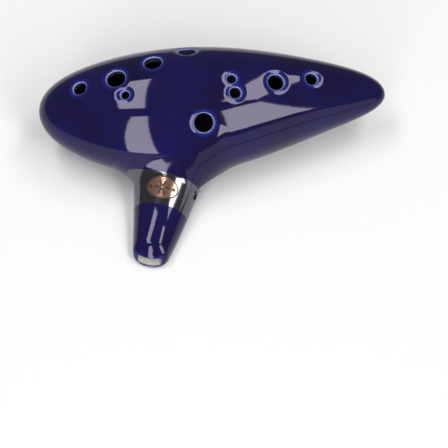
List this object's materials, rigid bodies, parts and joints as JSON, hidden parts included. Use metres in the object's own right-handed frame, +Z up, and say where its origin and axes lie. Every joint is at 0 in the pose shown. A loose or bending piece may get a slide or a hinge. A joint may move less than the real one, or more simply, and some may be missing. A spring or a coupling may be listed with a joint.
{
  "type": "ocarina",
  "caption": "Transverse ceramic ocarina: egg-shaped hollow chamber with tone holes, a leaning duct mouthpiece and a metallic lustre band round its neck.",
  "frame": {"origin": "centre of the bounding box, on the surface that the instrument lies on", "axes": "+X along the chamber towards the player's right hand, -Y towards the player's lips, +Z up, through the finger holes"},
  "size_m": [0.1732, 0.1068, 0.0528],
  "materials": {
    "cobalt_glaze": "high-gloss transparent cobalt glaze over white clay",
    "bare_clay": "unglazed fired clay, fine matt",
    "platinum_lustre": "mirror-like dark platinum lustre",
    "copper_lustre": "polished copper-gold lustre",
    "ornament_line": "dark brown lustre line"
  },
  "bodies": {
    "root": {"chamber_upper": "cobalt_glaze", "chamber_lower": "cobalt_glaze", "seam_slip": "cobalt_glaze", "labium": "bare_clay", "mouthpiece_upper": "cobalt_glaze", "mouthpiece_lower": "cobalt_glaze", "neck_slip": "cobalt_glaze", "lustre_band": "platinum_lustre", "ornament_field": "copper_lustre", "ornament_lines": "ornament_line"}
  },
  "joints": []
}
